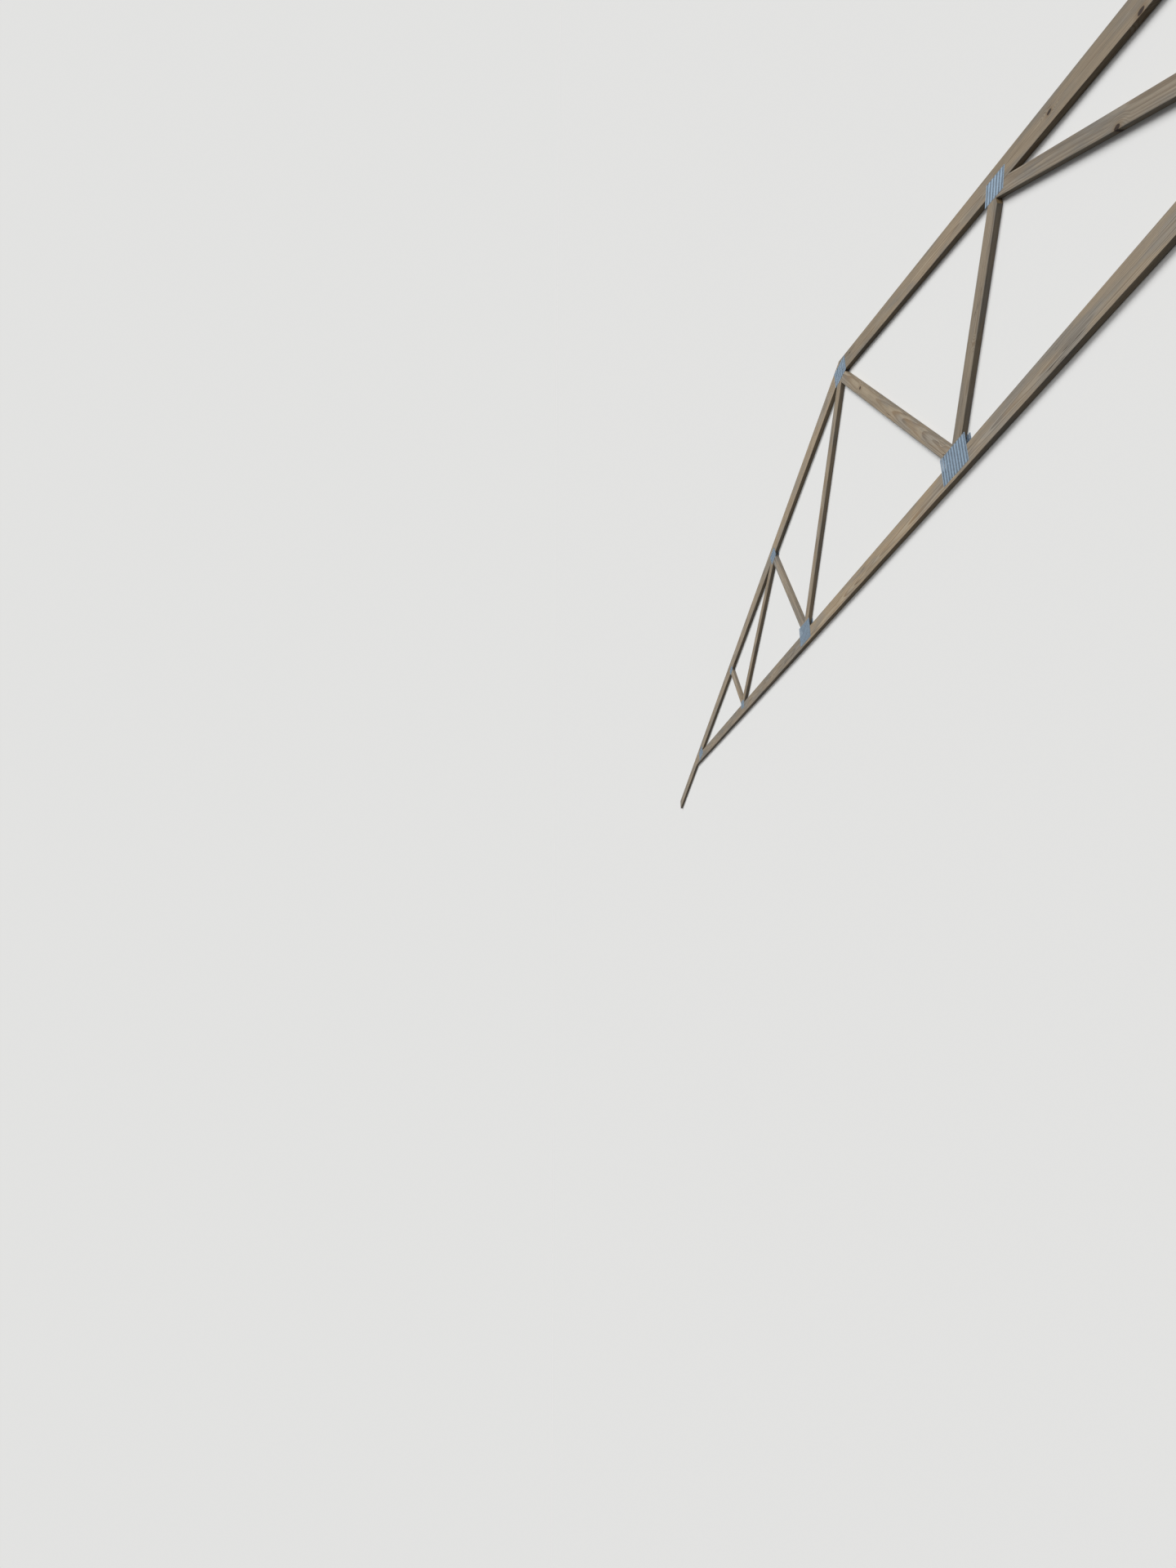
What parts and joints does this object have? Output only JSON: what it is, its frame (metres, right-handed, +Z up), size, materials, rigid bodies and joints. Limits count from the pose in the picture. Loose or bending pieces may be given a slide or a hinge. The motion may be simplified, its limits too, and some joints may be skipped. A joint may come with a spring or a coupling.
{
  "type": "wooden roof truss",
  "caption": "Double Fink timber roof truss with sloped top chords, overhanging tails, a flat bottom chord, web members and punched steel nail plates.",
  "frame": {"origin": "middle of the footprint, at the underside of the nail plates that the truss lies on", "axes": "+X along the span, +Y from the bottom chord towards the peak, +Z up through the thickness of the lumber"},
  "size_m": [15.24, 2.6872, 0.0399],
  "materials": {
    "lumber": "planed softwood lumber, weathered to a pale greyish tan, matt",
    "nail_plate": "galvanised sheet steel with punched slots, dull blue grey"
  },
  "bodies": {
    "root": {"bottom_chord_left": "lumber", "bottom_chord_middle": "lumber", "bottom_chord_right": "lumber", "heel_plate_left_back": "nail_plate", "heel_plate_left_front": "nail_plate", "heel_plate_right_back": "nail_plate", "heel_plate_right_front": "nail_plate", "inner_top_plate_left_back": "nail_plate", "inner_top_plate_left_front": "nail_plate", "inner_top_plate_right_back": "nail_plate", "inner_top_plate_right_front": "nail_plate", "inner_web_left": "lumber", "inner_web_right": "lumber", "middle_web_left": "lumber", "middle_web_right": "lumber", "outer_bottom_plate_left_back": "nail_plate", "outer_bottom_plate_left_front": "nail_plate", "outer_bottom_plate_right_back": "nail_plate", "outer_bottom_plate_right_front": "nail_plate", "outer_top_plate_left_back": "nail_plate", "outer_top_plate_left_front": "nail_plate", "outer_top_plate_right_back": "nail_plate", "outer_top_plate_right_front": "nail_plate", "outer_web_left": "lumber", "outer_web_right": "lumber", "peak_plate_back": "nail_plate", "peak_plate_front": "nail_plate", "peak_web_left": "lumber", "peak_web_right": "lumber", "splice_plate_left_back": "nail_plate", "splice_plate_left_front": "nail_plate", "splice_plate_right_back": "nail_plate", "splice_plate_right_front": "nail_plate", "top_chord_lower_left": "lumber", "top_chord_lower_right": "lumber", "top_chord_upper_left": "lumber", "top_chord_upper_right": "lumber"}
  },
  "joints": []
}
